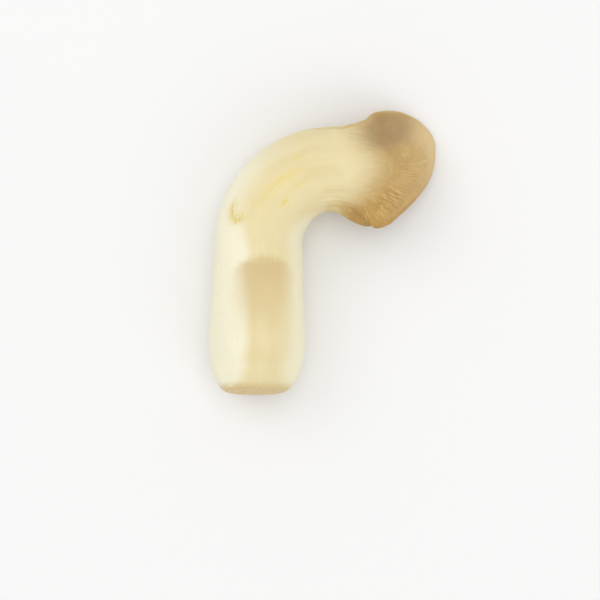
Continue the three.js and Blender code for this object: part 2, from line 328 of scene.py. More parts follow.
class FleshSettings(bpy.types.PropertyGroup):
    """Sizes and colours of the flesh."""

    columns: IntProperty(name="Columns", description="Points round the skin", default=400, min=48)
    lumps: length_property("Lumps", "Height of the broad unevenness of the stem", 0.24 * MM)
    streaks: length_property("Streaks", "Height of the streaks along the stem", 0.012 * MM)
    fibrils: length_property("Fibrils", "Height of the fine fibrils that fan over the cap", 0.08 * MM)
    hollow: length_property("Hollow", "Depth of the broad hollow in the cap", 1.2 * MM)
    stem_colour: colour_property("Stem", "Colour of the stem", tone(229, 215, 170))
    stem_shade: colour_property("Stem shade", "Colour of the stem's darker streaks", tone(222, 205, 156))
    # Painted light: the stem's sides that face the light are made paler
    lit_sides_colour: colour_property("Pale sides", "Colour of the stem's pale sides", tone(240, 235, 208))
    cap_colour: colour_property("Cap", "Colour of the cap's skin", tone(200, 169, 111))
    cap_shade: colour_property("Cap shade", "Colour of the cap's darker mottling", tone(186, 153, 97))
    fibril_colour: colour_property("Fibrils", "Colour of the cap's light fibrils", tone(228, 199, 138))
    # Painted light on the margin's far side, which faces the light
    lit_margin_colour: colour_property("Margin", "Colour of the margin's pale far side", tone(228, 200, 150))
    # Painted highlight along the rolled edge of the cap's margin
    rim_highlight_colour: colour_property(
        "Rim light", "Colour of the band beside the cap's margin", tone(226, 180, 100)
    )
    rim_colour: colour_property("Rim", "Colour of the cap's margin", tone(190, 138, 72))
    bruise_colour: colour_property("Bruises", "Colour of the yellow bruises", tone(226, 208, 128))
    cut_colour: colour_property("Cut end", "Colour of the cut end and its rim", tone(214, 190, 138))
    patch_colour: colour_property("Patch", "Colour of the beige patch on the stem", tone(207, 183, 131))
    # Golden tone and painted shade of the cap's near side, which faces away from the light; also its dark
    # fibrils
    warm_and_shade_colour: colour_property("Warm side", "Colour of the cap's skin on its near side", tone(178, 138, 68))
    # Painted shadow over the broad hollow in the cap and the skin towards it
    hollow_shadow_colour: colour_property("Hollow", "Colour of the broad hollow in the cap", tone(160, 130, 88))
    scar_colour: colour_property("Scar", "Colour of the rough scar", tone(222, 200, 120))
    gill_floor_colour: colour_property(
        "Between gills", "Colour of the flesh between gills", tone(205, 168, 100)
    )


class GillSettings(bpy.types.PropertyGroup):
    """Sizes and colours of the gills."""

    count: IntProperty(name="Gills", description="Gills of all lengths", default=150, min=8)
    depth: length_property("Depth", "Greatest height of a gill over the flesh between them", 2.4 * MM)
    root_thickness: length_property("Root", "Thickness of a gill at its root", 0.42 * MM)
    edge_thickness: length_property("Edge", "Thickness of a gill at its free edge", 0.2 * MM)
    wave: length_property("Wave", "How far the gills wander sideways", 0.3 * MM)
    root_colour: colour_property("Root", "Colour between the gills", tone(190, 150, 82))
    neck_colour: colour_property("Neck", "Colour where the gills run out on the neck", tone(234, 218, 172))
    # Darker golden tone and painted shade on the gills of the cap's near side
    near_tone_and_shade_colour: colour_property(
        "Near side", "Colour of the gills on the cap's near side", tone(178, 138, 74)
    )
    edge_colour: colour_property("Edge", "Colour of the gills' free edges", tone(228, 200, 138))


class StageSettings(bpy.types.PropertyGroup):
    """Floor, light and camera."""

    picture_width: length_property("Picture width", "Width that the camera sees at the mushroom", 200 * MM)
    camera_height: length_property("Camera height", "Height of the camera over the floor", 1.5)
    floor_colour: colour_property("Floor", "Colour of the floor", tone(239, 239, 239))
    key_power: power_property("Key light", "Power of the light from the left", 4.6)
    top_power: power_property("Top light", "Power of the soft light overhead", 11)
    fill_power: power_property("Fill light", "Power of the light from the right", 3.2)
    sky: FloatProperty(name="Sky", description="Strength of the light from all round", default=0.77, min=0)


def smooth_step(value, low, high):
    part = np.clip((value - low) / (high - low), 0, 1)
    return part * part * (3 - 2 * part)


def bump(value, middle, width):
    """Bell curve of height 1."""
    return np.exp(-(((value - middle) / width) ** 2))


def angle_between(a, b):
    return np.mod(a - b + math.pi, 2 * math.pi) - math.pi


def value_through(pairs, place):
    """Smooth curve through (place, value) pairs, level past its ends."""
    places, values = np.asarray(pairs, float).T
    slopes = np.diff(values) / np.diff(places)
    lean = np.concatenate([slopes[:1], (slopes[1:] + slopes[:-1]) / 2, slopes[-1:]])
    place = np.clip(place, places[0], places[-1])
    k = np.clip(np.searchsorted(places, place, side="right") - 1, 0, len(slopes) - 1)
    span = places[k + 1] - places[k]
    part = (place - places[k]) / span
    return hermite(values[k], values[k + 1], lean[k] * span, lean[k + 1] * span, part)


def value_around(pairs, degrees):
    """The same round a full turn in degrees."""
    turn = np.array((360, 0))
    return value_through(np.concatenate([pairs[-3:] - turn, pairs, pairs[:3] + turn]), degrees)


def hermite(start, end, leave, arrive, t):
    """Smooth way from start to end that leaves and arrives by the given pulls."""
    square = t * t
    cube = square * t
    return (
        start * (2 * cube - 3 * square + 1)
        + leave * (cube - 2 * square + t)
        + end * (3 * square - 2 * cube)
        + arrive * (cube - square)
    )


def length_of(vectors):
    return np.linalg.norm(vectors, axis=-1, keepdims=True)


def unit(vectors):
    return vectors / np.maximum(length_of(vectors), 1e-12)


def curve_between(before, start, end, after, t):
    """Point from start to end on the centripetal curve through four points."""
    first = length_of(start - before) ** 0.5
    middle = length_of(end - start) ** 0.5
    last = length_of(after - end) ** 0.5
    leave = (start - before) / first - (end - before) / (first + middle) + (end - start) / middle
    arrive = (end - start) / middle - (after - start) / (middle + last) + (after - end) / last
    return hermite(start, end, leave * middle, arrive * middle, t)


def stem_radius(along):
    return value_through(STEM_RADII, along)


def middle_line(along):
    """Points on the stem's middle line, with its direction and the one to the outside of the bend."""
    bend = np.clip((along - BEND_START) / BEND_RADIUS, 0, math.pi / 2)
    lean = np.maximum(0, 1 - along / BASE_LEAN_LENGTH)
    lying_z = stem_radius(np.clip(along, *LYING)) - FLAT_DEPTH
    rise = smooth_step(along, LYING[1], NECK_END)
    point = np.stack([
        BEND_RADIUS * (1 - np.cos(bend)) + np.maximum(0, along - BEND_END) + BASE_LEAN * lean**2,
        STRAIGHT_START_Y + np.minimum(along, BEND_START) + BEND_RADIUS * np.sin(bend),
        lying_z + (NECK_AXIS_Z - lying_z) * rise,
    ], axis=-1)
    level = np.zeros_like(bend)
    forward = np.stack([np.sin(bend), np.cos(bend), level], axis=-1)
    outward = np.stack([-np.cos(bend), np.sin(bend), level], axis=-1)
    return point, forward, outward


def facet_depth(turn, along):
    depth = sum(size * bump(angle_between(turn, place), 0, width) for place, width, size in FACETS)
    return depth * smooth_step(along, *FACET_GROW) * (1 - smooth_step(along, *FACET_FADE))


def round_stem(turn, along):
    """Direction from the middle line to the skin: turn 0 is up, a quarter turn is outside the bend."""
    outward = middle_line(along)[2]
    return outward * np.sin(turn)[..., None] + np.array((0, 0, 1)) * np.cos(turn)[..., None]


def stem_points(turn, along):
    point, forward, _ = middle_line(along)
    radius = stem_radius(along) - facet_depth(turn, along)
    slant = math.tan(CUT_SLANT) * radius * np.cos(turn) * np.maximum(0, 1 - along / CUT_FADE_LENGTH)
    return point + round_stem(turn, along) * radius[..., None] + forward * slant[..., None]


def cap_axes():
    """The cap's axis, the direction over its far side, and the one across both."""
    neck = np.array((1, 0, 0))
    gills = np.array((0, -math.sin(GILL_FACING), -math.cos(GILL_FACING)))
    axis = neck * math.sin(CAP_TILT) - gills * math.cos(CAP_TILT)
    far = neck * math.cos(CAP_TILT) + gills * math.sin(CAP_TILT)
    return axis, far, np.cross(axis, far)


def margin_clear(turn):
    """How far the margin stands clear of the neck, from 0 to 1, and the angle round the cap."""
    degrees = np.degrees(angle_between(GILL_MIDDLE, turn))
    lost = np.where(degrees < 0, MARGIN_LOST_NEAR, MARGIN_LOST_FAR)
    return smooth_step(-np.abs(degrees), -lost, -MARGIN_CLEAR), degrees


def cap_keys(turn):
    """Stations and points of the curves over the cap, one for each turn."""
    axis, far, across = cap_axes()
    neck_direction = np.array((1, 0, 0))
    clear, degrees = margin_clear(turn)
    clear = clear[:, None]
    angle = np.radians(degrees)[:, None]
    outward = far * np.cos(angle) + across * np.sin(angle)
    rim = value_around(RIM_RADII, degrees)[:, None]
    shoulder_height = value_around(SHOULDER_HEIGHTS, degrees)[:, None]

    def on_cap(radius, height):
        return CAP_CENTRE + outward * radius + axis * height

    dome = []
    for station, reach, rise, rounding in DOME_SECTION:
        radius = reach * (rim + (DOME_RADIUS - rim) * rounding)
        dome.append((station, on_cap(radius, shoulder_height + (CAP_HEIGHT - shoulder_height) * rise)))
    margin = [(station, on_cap(rim - inside, height)) for station, inside, height in MARGIN_SECTION]

    neck = stem_points(turn, np.full_like(turn, NECK_END))
    lip = margin[0][1]
    shoulder = dome[0][1]
    span = length_of(lip - neck)
    pulls = (neck_direction * NECK_PULL * span, outward * LIP_PULL * span)
    flare = [(station, hermite(neck, lip, *pulls, station / LIP)) for station in FLARE_STATIONS]
    filled = smooth_step(-degrees, *MARGIN_FILLED_NEAR) + smooth_step(degrees, *MARGIN_FILLED_FAR)
    filled = filled[:, None]
    rim_place, rim_key = margin[RIM_PLACE]
    rim_span = length_of(rim_key - neck)
    rim_pulls = (neck_direction * NECK_PULL * rim_span, (outward + axis * RIM_LIFT) * RIM_PULL * rim_span)
    underside = []
    for station, key in flare + margin[:RIM_PLACE]:
        solid = hermite(neck, rim_key, *rim_pulls, station / rim_place)
        underside.append((station, key + (solid - key) * filled))

    back_span = length_of(shoulder - neck)
    back_pulls = (
        neck_direction * NECK_PULL * back_span,
        (axis * SHOULDER_LIFT - outward) * SHOULDER_PULL * back_span,
    )
    edge = []
    for station, key in underside + margin[RIM_PLACE:]:
        back = hermite(neck, shoulder, *back_pulls, station / SHOULDER)
        edge.append((station, back + (key - back) * clear))

    lead = stem_points(turn, np.full_like(turn, NECK_END - NECK_LEAD))
    keys = [(-NECK_LEAD, lead), (0, neck), *edge, *dome]
    return np.array([key[0] for key in keys]), [key[1] for key in keys]


def cap_points(turn, stations):
    """Rows of points over the cap, one row for each station past the neck."""
    places, keys = cap_keys(turn)
    rows = []
    for station in stations:
        k = np.searchsorted(places, station, side="right") - 1
        part = (station - places[k]) / (places[k + 1] - places[k])
        rows.append(curve_between(*keys[k - 1 : k + 3], part))
    return np.stack(rows)


def skin_stations():
    """Stations of the skin's rows, from the cut end to just short of the cap's top."""
    stations = [0.0]
    while stations[-1] < NECK_END + CAP_TOP:
        stations.append(stations[-1] + float(value_through(ROW_SPACING, stations[-1])))
    return np.array(stations[:-2])


def plain_skin(turn, stations):
    """Grid of points on the smooth skin, without the gills: a row for each station."""
    on_stem = stations[stations <= NECK_END]
    on_cap = stations[stations > NECK_END] - NECK_END
    turns, alongs = np.meshgrid(turn, on_stem)
    points = np.concatenate([stem_points(turns, alongs), cap_points(turn, on_cap)])
    turns, alongs = np.meshgrid(turn, stations)
    size = FILLET_SIZE * bump(angle_between(turns, FILLET_TURN), 0, FILLET_WIDTH)
    past = alongs - NECK_END
    size *= smooth_step(past, *FILLET_GROW) * (1 - smooth_step(past, *FILLET_FADE))
    points += round_stem(turns, alongs) * size[..., None]
    points[..., 2] = np.maximum(0, points[..., 2])
    return points


def grid_normals(points):
    """Outward normals of a grid whose columns close round the skin."""
    round_step = np.roll(points, -1, axis=1) - np.roll(points, 1, axis=1)
    along_step = np.gradient(points, axis=0)
    return unit(np.cross(along_step, round_step))


def gill_share(turn, station):
    """Depth of the gills as a part of their greatest."""
    away = np.abs(angle_between(turn, GILL_MIDDLE))
    sector = smooth_step(-away, -GILL_SECTOR, -GILL_FULL_SECTOR)
    begin = smooth_step(station, GILL_START, GILL_FULL_START)
    end = 1 - smooth_step(station, GILL_FULL_END, NECK_END + LIP)
    return sector * begin**GILL_EASE * end


def ripples(seed, turn, along, counts, lengths, waves=40):
    """Uneven relief from about -1 to 1: waves that close round the stem, with so many to a turn,
    and that change along it over lengths in a range."""
    draw = np.random.default_rng(seed)
    total = np.zeros_like(turn)
    for _ in range(waves):
        count = draw.integers(counts[0], counts[1] + 1)
        length = draw.uniform(*lengths) * draw.choice((-1, 1))
        phase = draw.uniform(0, 2 * math.pi)
        total += np.cos(count * turn + 2 * math.pi * along / length + phase)
    return total / math.sqrt(waves)


def fan_place(points):
    """Angle and distance from the fan's centre, seen from above."""
    x = points[..., 0] - FAN_CENTRE[0]
    y = points[..., 1] - FAN_CENTRE[1]
    return np.arctan2(y, x), np.hypot(x, y)


def scar_relief(turn, station):
    """A small rough scar: a crescent of bumps, and the hollows under them as a mask."""
    across = angle_between(turn, SCAR[1]) * NOMINAL_RADIUS
    along = station - SCAR[0]
    ring = np.hypot(across / SCAR_STRETCH - SCAR_MIDDLE[0], along - SCAR_MIDDLE[1]) - SCAR_RADIUS
    crescent = bump(ring, 0, SCAR_WIDTH) * smooth_step(across * 0.5 - along, *SCAR_OPENING)
    bumps = ripples(SEED + 4, turn, station, *SCAR_WAVES)
    return SCAR_HEIGHT * crescent * (0.6 + bumps), np.clip(crescent * (0.9 - 0.2 * bumps), 0, 1)


def bruise_mask(turn, station):
    """Yellow bruises along the upper side of the bend."""
    total = np.zeros_like(turn)
    for place, angle, length, width, strength in BRUISES:
        across = angle_between(turn, angle) * NOMINAL_RADIUS
        total += strength * bump(across, 0, width) * bump(station, place, length)
    return np.clip(total, 0, 1)


def fibril_share(points):
    """How much the fibrils show at each point of the cap, most in their patches."""
    total = np.full(points.shape[:-1], FIBRILS_ELSEWHERE)
    for x, y, reach, strength in FIBRIL_PATCHES:
        total += strength * bump(np.hypot(points[..., 0] - x, points[..., 1] - y), 0, reach)
    return total


def hollow_mask(points):
    """The broad hollow in the top of the cap, behind the end of the neck, and its painted shadow."""
    x = points[..., 0] - HOLLOW_MIDDLE[0]
    y = points[..., 1] - HOLLOW_MIDDLE[1]
    x = (x - HOLLOW_SLANT * y) / HOLLOW_REACH[0]
    return np.exp(-((x**2 + (y / HOLLOW_REACH[1]) ** 2) ** 2))


def patch_mask(points, lumps):
    """A shallow beige patch on the stem's top, with an arched upper edge."""
    x = points[..., 0] - PATCH_MIDDLE[0]
    y = points[..., 1] - PATCH_MIDDLE[1]
    arch = PATCH_ARCH * (x / PATCH_WIDTH) ** 4
    edge_wander, fade_wander, side_wander = PATCH_RAGGED
    upper = smooth_step(edge_wander * lumps - y - arch, *PATCH_EDGE)
    lower = smooth_step(y + fade_wander * lumps, *PATCH_FADE)
    sides = 1 - smooth_step((np.abs(x) + side_wander * lumps) / PATCH_WIDTH, *PATCH_SIDES)
    return upper * lower * sides * smooth_step(points[..., 2], *PATCH_HEIGHTS)


def warm_and_shade_mask(fan_angle, fan_distance, fan_waves, past):
    """The golden near side of the cap with painted shade, broken up by its light fibrils."""
    warm = bump(fan_angle, *WARM_SIDE) * smooth_step(fan_distance, *WARM_DISTANCE)
    warm *= np.clip(1 - 0.6 * np.clip(fan_waves, -0.3, 1.2), 0, 1)
    warm *= smooth_step(past, *WARM_START) * (1 - 0.35 * bump(past, *WARM_GAP))
    return np.clip(1.15 * warm, 0, 1)


def lit_sides_mask(normals, alongs):
    """Painted light on the stem's sides: the outer one, broader low down, and the inner one."""
    low = 1 - smooth_step(alongs, *LIT_SIDES_NARROWING)
    outer = smooth_step(0.25 * normals[..., 1] - normals[..., 0] + 0.3 * low, 0.3, 0.95 - 0.3 * low)
    inner = 0.9 * smooth_step(normals[..., 0], 0.35, 0.95)
    return np.clip((outer + inner) * (1 - smooth_step(alongs, *LIT_SIDES_END)), 0, 1)


def tan_mask(points, past, streaks):
    """Where the cream of the stem has turned into the tan of the cap, with a streaky edge."""
    lead = TAN_LEAD * smooth_step(np.abs(points[..., 1] - FAN_CENTRE[1]), 0, TAN_SIDE)
    tan = smooth_step(points[..., 0] + lead + TAN_WANDER * streaks, *TAN_RANGE)
    return tan * smooth_step(past, *TAN_START)


def margin_masks(turn, past, fan_angle, blotches):
    """Masks of the cap's margin: the orange rim, a painted highlight beside it, painted light on its far
    side.
    """
    degrees = margin_clear(turn)[1][None, :]
    free = smooth_step(degrees, *BANDS_BEGIN) * (1 - smooth_step(degrees, *BANDS_END))
    near = bump(degrees, *NEAR_MARGIN)
    return {
        "rim": bump(past, *RIM_BAND) * free * (0.25 + 0.75 * near),
        # Painted highlight beside the rim
        "rim_line": bump(past, *RIM_HIGHLIGHT_BAND) * free * near * np.clip(blotches + 0.3, 0, 1),
        # Painted light on the margin's far side
        "margin": bump(past, *LIT_MARGIN_BAND) * free * bump(fan_angle, *LIT_MARGIN_SIDE),
    }


def flesh_grid(settings, gill_depth):
    """Points of the skin with their relief, and the masks that its finish reads, as grids."""
    turn = np.arange(settings.columns) * 2 * math.pi / settings.columns
    stations = skin_stations()
    points = plain_skin(turn, stations)
    normals = grid_normals(points)
    turns, alongs = np.meshgrid(turn, stations)
    past = alongs - NECK_END

    on_stem = smooth_step(alongs, *RELIEF_GROW) * (1 - smooth_step(past, *RELIEF_FADE))
    lumps = ripples(SEED, turns, alongs, *LUMP_WAVES)
    streaks = ripples(SEED + 1, turns, alongs, *STREAK_WAVES)
    fan_angle, fan_distance = fan_place(points)
    fan_waves = ripples(SEED + 2, fan_angle, fan_distance, *FAN_WAVES)
    blotches = 0.5 + 0.5 * ripples(SEED + 3, turns, alongs, *BLOTCH_WAVES)
    upward = smooth_step(normals[..., 2], *FACING_UP)
    fibril = fibril_share(points) * upward
    fibrils = np.clip(fan_waves, -1, 1.6) * fibril

    hollow = hollow_mask(points + HOLLOW_WANDER * blotches[..., None])
    hollow *= smooth_step(past, *HOLLOW_START) * smooth_step(normals[..., 2], *HOLLOW_FACING)
    # Painted shade that darkens the cap's top towards the hollow
    shade_near_hollow = upward * smooth_step(past, *DUSKY_START) * smooth_step(fan_distance, *DUSKY_DISTANCE)
    shade_near_hollow *= smooth_step(fan_angle, *DUSKY_SIDE)
    scar, scarred = scar_relief(turns, alongs)
    bruise = bruise_mask(turns, alongs)
    patch = patch_mask(points, lumps + 0.12 * streaks)
    gills = gill_share(turns, alongs)
    raised = smooth_step(past, *GILL_RAISED_CHANGE)
    raised = GILL_RAISED_NECK + (GILL_RAISED_CAP - GILL_RAISED_NECK) * raised

    lined = bump(past, *LINED_PLACE)
    lined *= bump(angle_between(turns, LINED_SIDE[0]), 0, LINED_SIDE[1])
    relief = settings.lumps * lumps * on_stem
    relief += settings.streaks * streaks * (on_stem + LINED_DEPTH * lined)
    relief += settings.fibrils * fibrils - settings.hollow * hollow
    relief += scar - BRUISE_DEPTH * bruise - PATCH_DEPTH * patch
    relief *= 1 - smooth_step(gills, 0, 0.2)
    relief -= gill_depth * gills * (1 - raised)
    points = points + normals * relief[..., None]
    points[..., 2] = np.maximum(0, points[..., 2])

    masks = {
        "tan": tan_mask(points, past, streaks),
        "fibril": fibril,
        # The hollow's mask is painted shadow: over the hollow and, faintly, the skin towards it
        "hollow": np.clip(hollow + 0.15 * shade_near_hollow, 0, 1),
        # Golden tone and painted shade on the cap's near side
        "warm": warm_and_shade_mask(fan_angle, fan_distance, fan_waves, past),
        "patch": patch,
        # Painted light on the stem's sides, by which way they face
        "pale": lit_sides_mask(normals, alongs),
        "scar": scarred,
        "bruise": bruise,
        "lined": lined,
        "gill_share": gills,
        "gill_floor": gills * (0.3 + 0.7 * smooth_step(points[..., 0], *FLOOR_CHANGE)),
        "cut": 1 - smooth_step(alongs, *CUT_RIM),
        **margin_masks(turn, past, fan_angle, blotches),
    }
    return turn, stations, points, masks


def cut_rows(turn, rim_row):
    """Rows of the cut face, from its middle out, a little hollow and fibrous."""
    centre, forward, _ = middle_line(np.zeros(1))
    share = (np.arange(CUT_ROWS) + 1) / (CUT_ROWS + 1)
    turns, shares = np.meshgrid(turn, share)
    rough = ripples(SEED + 5, turns, shares * NOMINAL_RADIUS, *CUT_WAVES)
    depth = CUT_HOLLOW * (1 - shares**2) + CUT_ROUGHNESS * rough * bump(shares, *CUT_RING)
    rows = centre + (rim_row[None] - centre) * shares[..., None] + forward * depth[..., None]
    return share, rows, (centre + forward * CUT_HOLLOW)[0]


def build_mesh(name, turn, stations, points, masks):
    """A closed skin from a grid of points, with a pole at each end."""
    share, cut, cut_pole = cut_rows(turn, points[0])
    columns = len(turn)
    grid = np.concatenate([cut, points])
    top_pole = CAP_CENTRE + cap_axes()[0] * CAP_HEIGHT
    rows = len(grid)
    vertices = np.concatenate([grid.reshape(-1, 3), [cut_pole, top_pole]])
    index = np.arange(rows * columns).reshape(rows, columns)
    following = np.roll(index, -1, axis=1)
    quads = np.stack([index[:-1], index[1:], following[1:], following[:-1]], axis=-1).reshape(-1, 4)
    first_fan = [(len(vertices) - 2, a, b) for a, b in zip(index[0], following[0])]
    last_fan = [(len(vertices) - 1, b, a) for a, b in zip(index[-1], following[-1])]
    mesh = bpy.data.meshes.new(name)
    mesh.from_pydata(vertices, [], quads.tolist() + first_fan + last_fan)
    mesh.shade_smooth()

    total = CUT_FACE + NECK_END + CAP_TOP
    places = np.concatenate([share * CUT_FACE, CUT_FACE + stations]) / total
    write_uv_map(mesh, columns, places, len(quads))
    along = np.repeat(places * total - CUT_FACE, columns)
    around = np.tile(turn, rows)
    unbent = np.stack([NOMINAL_RADIUS * np.cos(around), NOMINAL_RADIUS * np.sin(around), along], axis=-1)
    poles = [(0, 0, -CUT_FACE), (0, 0, total - CUT_FACE)]
    write_attribute(mesh, "unbent", "FLOAT_VECTOR", np.concatenate([unbent, poles]))
    fan_angle, fan_distance = fan_place(vertices)
    fan = np.stack([fan_angle * FAN_RADIUS, fan_distance, vertices[:, 2]], axis=-1)
    write_attribute(mesh, "fan", "FLOAT_VECTOR", fan)
    for mask, values in masks.items():
        first = np.full((CUT_ROWS, columns), float(mask == "cut"))
        ends = [float(mask == "cut"), values[-1].mean()]
        whole = np.concatenate([first.ravel(), values.ravel(), ends])
        write_attribute(mesh, mask, "FLOAT", whole)
    return mesh


def write_attribute(mesh, name, kind, values):
    attribute = mesh.attributes.new(name, kind, "POINT")
    field = "vector" if kind == "FLOAT_VECTOR" else "value"
    attribute.data.foreach_set(field, np.asarray(values, np.float32).ravel())


def write_uv_map(mesh, columns, places, quad_count):
    """Unrolls the skin: across is the turn, up is the way along it."""
    corners = np.zeros((len(mesh.loops), 2), np.float32)
    row, column = np.divmod(np.arange(quad_count), columns)
    corner_rows = np.stack([row, row + 1, row + 1, row], axis=-1)
    corner_columns = np.stack([column, column, column + 1, column + 1], axis=-1)
    corners[: quad_count * 4, 0] = (corner_columns / columns).ravel()
    corners[: quad_count * 4, 1] = places[corner_rows].ravel()
    column = np.arange(columns)
    middle = (column + 0.5) / columns
    first = np.stack([middle, column / columns, (column + 1) / columns], axis=-1)
    last = np.stack([middle, (column + 1) / columns, column / columns], axis=-1)
    fans = np.concatenate([first.ravel(), last.ravel()])
    heights = np.tile((0, places[0], places[0]), columns), np.tile((1, places[-1], places[-1]), columns)
    corners[quad_count * 4 :, 0] = fans
    corners[quad_count * 4 :, 1] = np.concatenate(heights)
    layer = mesh.uv_layers.new(name="skin")
    layer.uv.foreach_set("vector", corners.ravel())


def add_node(tree, kind, sockets=(), **settings):
    """Adds a node. sockets pairs an input with its value, or with the output that feeds it."""
    node = tree.nodes.new(kind)
    for name, value in settings.items():
        setattr(node, name, value)
    for name, value in dict(sockets).items():
        if isinstance(value, bpy.types.NodeSocket):
            tree.links.new(value, node.inputs[name])
        else:
            node.inputs[name].default_value = value
    return node


def math_node(tree, operation, *values, clamp=False):
    node = add_node(tree, "ShaderNodeMath", enumerate(values), operation=operation, use_clamp=clamp)
    return node.outputs[0]


def vector_node(tree, operation, *values):
    node = add_node(tree, "ShaderNodeVectorMath", enumerate(values), operation=operation)
    return node.outputs[0]


def mix_colours(tree, factor, first, second):
    sockets = {0: factor, 6: first, 7: second}
    return add_node(tree, "ShaderNodeMix", sockets, data_type="RGBA").outputs[2]


def tinted(tree, colour, tint, mask, strength):
    """The colour, turned towards a tint where the mask says so."""
    return mix_colours(tree, math_node(tree, "MULTIPLY", mask, strength), colour, opaque(tint))


def mix_values(tree, factor, first, second):
    sockets = {0: factor, 2: first, 3: second}
    return add_node(tree, "ShaderNodeMix", sockets, data_type="FLOAT").outputs[0]


def map_range(tree, value, low, high, new_low=0.0, new_high=1.0):
    sockets = {0: value, 1: low, 2: high, 3: new_low, 4: new_high}
    return add_node(tree, "ShaderNodeMapRange", sockets, interpolation_type="SMOOTHSTEP").outputs[0]


def attribute(tree, name):
    return add_node(tree, "ShaderNodeAttribute", attribute_name=name)


def new_group(name, inputs, outputs):
    """A shader node group with its sockets, and its input and output nodes."""
    tree = bpy.data.node_groups.new(name, "ShaderNodeTree")
    for socket, kind, default in inputs:
        tree.interface.new_socket(socket, in_out="INPUT", socket_type=kind).default_value = default
    for socket, kind in outputs:
        tree.interface.new_socket(socket, in_out="OUTPUT", socket_type=kind)
    return tree, add_node(tree, "NodeGroupInput"), add_node(tree, "NodeGroupOutput")


def fibres_group():
    """Streaks that run along the third coordinate, as a value from 0 to 1."""
    tree, start, end = new_group(
        "Fibres",
        [
            ("Coordinates", "NodeSocketVector", (0, 0, 0)),
            ("Spacing", "NodeSocketFloat", 1 * MM),
            ("Stretch", "NodeSocketFloat", 12),
            ("Contrast", "NodeSocketFloat", 2),
        ],
        [("Value", "NodeSocketFloat")],
    )
    across = math_node(tree, "DIVIDE", 1, start.outputs["Spacing"])
    along = math_node(tree, "DIVIDE", across, start.outputs["Stretch"])
    scale = add_node(tree, "ShaderNodeCombineXYZ", {0: across, 1: across, 2: along}).outputs[0]
    place = vector_node(tree, "MULTIPLY", start.outputs["Coordinates"], scale)
    noise = add_node(tree, "ShaderNodeTexNoise", {"Vector": place, "Scale": 1, "Detail": 2})
    centred = math_node(tree, "SUBTRACT", noise.outputs[0], 0.5)
    value = math_node(tree, "MULTIPLY_ADD", centred, start.outputs["Contrast"], 0.5, clamp=True)
    tree.links.new(value, end.inputs["Value"])
    return tree


def fibres(tree, coordinates, spacing, stretch, contrast=2):
    """The value of the Fibres group, placed with its own numbers."""
    group = bpy.data.node_groups.get("Fibres") or fibres_group()
    sockets = {"Coordinates": coordinates, "Spacing": spacing, "Stretch": stretch, "Contrast": contrast}
    return add_node(tree, "ShaderNodeGroup", sockets, node_tree=group).outputs["Value"]


def noise_value(tree, coordinates, size, detail=2.0):
    """Noise whose blotches are about size across."""
    sockets = {"Vector": coordinates, "Scale": 1 / size, "Detail": detail}
    return add_node(tree, "ShaderNodeTexNoise", sockets).outputs[0]


def new_material(name):
    material = bpy.data.materials.new(name)
    material.use_nodes = True
    tree = material.node_tree
    return material, tree, tree.nodes["Principled BSDF"]


def opaque(colour):
    return (*colour, 1)


def set_flesh_shader(shader):
    """What is the same all over the flesh: how light sinks in and how little it shines."""
    shader.inputs["Specular IOR Level"].default_value = 0.3
    shader.inputs["Subsurface Weight"].default_value = 0.12
    shader.inputs["Subsurface Radius"].default_value = (1, 0.62, 0.3)
    shader.inputs["Subsurface Scale"].default_value = 2.5 * MM


def link_bump(tree, shader, height, strength, distance):
    sockets = {"Strength": strength, "Distance": distance, "Height": height}
    normal = add_node(tree, "ShaderNodeBump", sockets).outputs[0]
    tree.links.new(normal, shader.inputs["Normal"])


def stem_colours(tree, settings, mask, unbent, place, coarse, fine):
    """Cream with darker lengthwise streaks, painted light on the sides, bruises, the beige patch, the cut
    end.
    """
    blotches = noise_value(tree, place, 14 * MM)
    shade = math_node(tree, "MULTIPLY_ADD", fine, 0.2, math_node(tree, "MULTIPLY", coarse, 0.8))
    shade = map_range(tree, math_node(tree, "MULTIPLY", shade, blotches), 0.12, 0.52)
    stem = mix_colours(tree, shade, opaque(settings.stem_colour), opaque(settings.stem_shade))
    # Painted light on the stem's sides
    stem = mix_colours(tree, mask["pale"], stem, opaque(settings.lit_sides_colour))
    ragged = map_range(tree, fibres(tree, unbent, 1.3 * MM, 4), 0.35, 0.6, 0.3, 1.25)
    stem = tinted(tree, stem, settings.bruise_colour, mask["bruise"], ragged)
    lines = map_range(tree, fibres(tree, unbent, 0.7 * MM, 14), 0.45, 0.25, 0, 0.55)
    stem = tinted(tree, stem, settings.patch_colour, mask["lined"], lines)
    stem = tinted(tree, stem, settings.patch_colour, mask["patch"], 0.85)
    uneven = map_range(tree, noise_value(tree, place, 1.4 * MM, 3), 0.2, 0.6, 0.45, 1)
    return tinted(tree, stem, settings.cut_colour, mask["cut"], uneven)


def cap_colours(tree, settings, mask, place, fanned, threads):
    """Mottled tan, darker fibrils, orange rim, painted light on the margin and painted shadow in the hollow.
    """
    mottling = map_range(tree, noise_value(tree, place, 5 * MM, 5), 0.38, 0.62)
    mottling = math_node(tree, "MULTIPLY", mottling, 0.65)
    shade = math_node(tree, "MULTIPLY_ADD", fanned, 0.25, mottling)
    cap = mix_colours(tree, shade, opaque(settings.cap_colour), opaque(settings.cap_shade))
    grain = map_range(tree, noise_value(tree, place, 0.9 * MM, 3), 0.5, 0.72, 0, 0.22)
    cap = mix_colours(tree, grain, cap, opaque(settings.fibril_colour))
    dark = map_range(tree, threads, 0.5, 0.3, 0, 0.75)
    cap = tinted(tree, cap, settings.warm_and_shade_colour, mask["fibril"], dark)
    cap = tinted(tree, cap, settings.rim_colour, mask["rim"], 0.8)
    # Painted highlight beside the rim
    cap = tinted(tree, cap, settings.rim_highlight_colour, mask["rim_line"], 0.7)
    # Painted light on the margin's far side
    cap = tinted(tree, cap, settings.lit_margin_colour, mask["margin"], 0.8)
    # Painted shadow over the hollow
    return tinted(tree, cap, settings.hollow_shadow_colour, mask["hollow"], 0.8)


